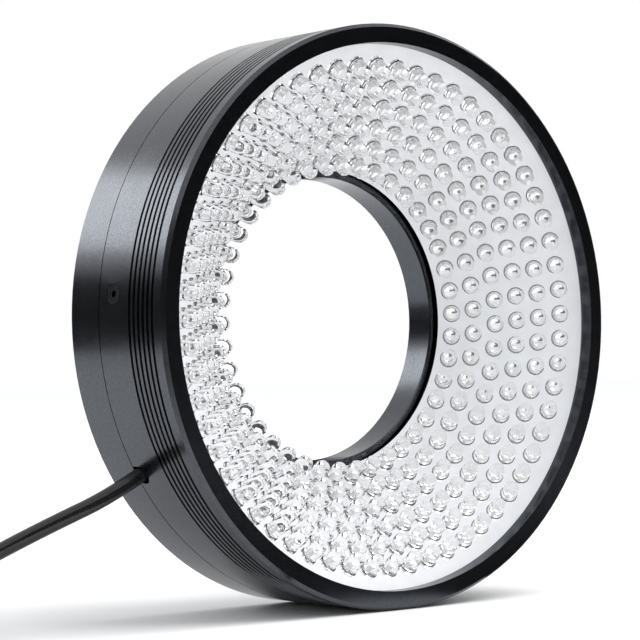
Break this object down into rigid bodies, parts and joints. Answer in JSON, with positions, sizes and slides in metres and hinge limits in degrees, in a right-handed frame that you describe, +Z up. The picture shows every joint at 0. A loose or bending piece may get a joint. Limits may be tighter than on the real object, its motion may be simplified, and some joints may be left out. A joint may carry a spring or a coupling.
{
  "type": "machine vision ring light",
  "caption": "Wide ring light for a machine vision camera: black grooved housing with a large bore, white cone of clear round lamps, and a thin lead leaving its side.",
  "frame": {"origin": "bottom centre of the housing, on the surface that its rim stands on, half way between front and rear face", "axes": "+Z up, +Y from the lit side to the rear along the bore, +X to the right seen from the lit side"},
  "size_m": [0.3118, 0.0692, 0.18],
  "materials": {
    "anodised_black": "black anodised, fine bead blast",
    "black_polymer": "black",
    "board_white": "white solder mask on flexible board",
    "clear_epoxy": "clear cast lamp epoxy",
    "board_green": "green circuit board",
    "chip_black": "moulded component",
    "header_green": "terminal block",
    "steel_black": "black oxide",
    "steel_zinc": "zinc plated",
    "wire_red": "pvc insulation",
    "wire_black": "pvc insulation",
    "pvc_black": "smooth glossy pvc jacket",
    "nylon_white": "natural nylon",
    "nylon_black": "black nylon",
    "contact_tin": "tin plated"
  },
  "bodies": {
    "root": {"front_body": "anodised_black", "rear_cover": "anodised_black", "board_retainer": "black_polymer", "lamp_board": "board_white", "lamp_row_1": "clear_epoxy", "lamp_row_2": "clear_epoxy", "lamp_row_3": "clear_epoxy", "lamp_row_4": "clear_epoxy", "lamp_row_5": "clear_epoxy", "lamp_row_6": "clear_epoxy", "resistor_board": "board_green", "resistors": "chip_black", "protection_diode": "chip_black", "terminal_header": "header_green", "board_screws": "steel_zinc", "side_screws": "steel_black", "supply_wire_red": "wire_red", "supply_wire_black": "wire_black", "board_wire_red": "wire_red", "board_wire_black": "wire_black", "lead_tie": "nylon_black", "lead_cable": "pvc_black", "lead_coil": "pvc_black", "coil_strap": "nylon_black", "plug_housing": "nylon_white", "plug_contacts": "contact_tin"}
  },
  "joints": []
}
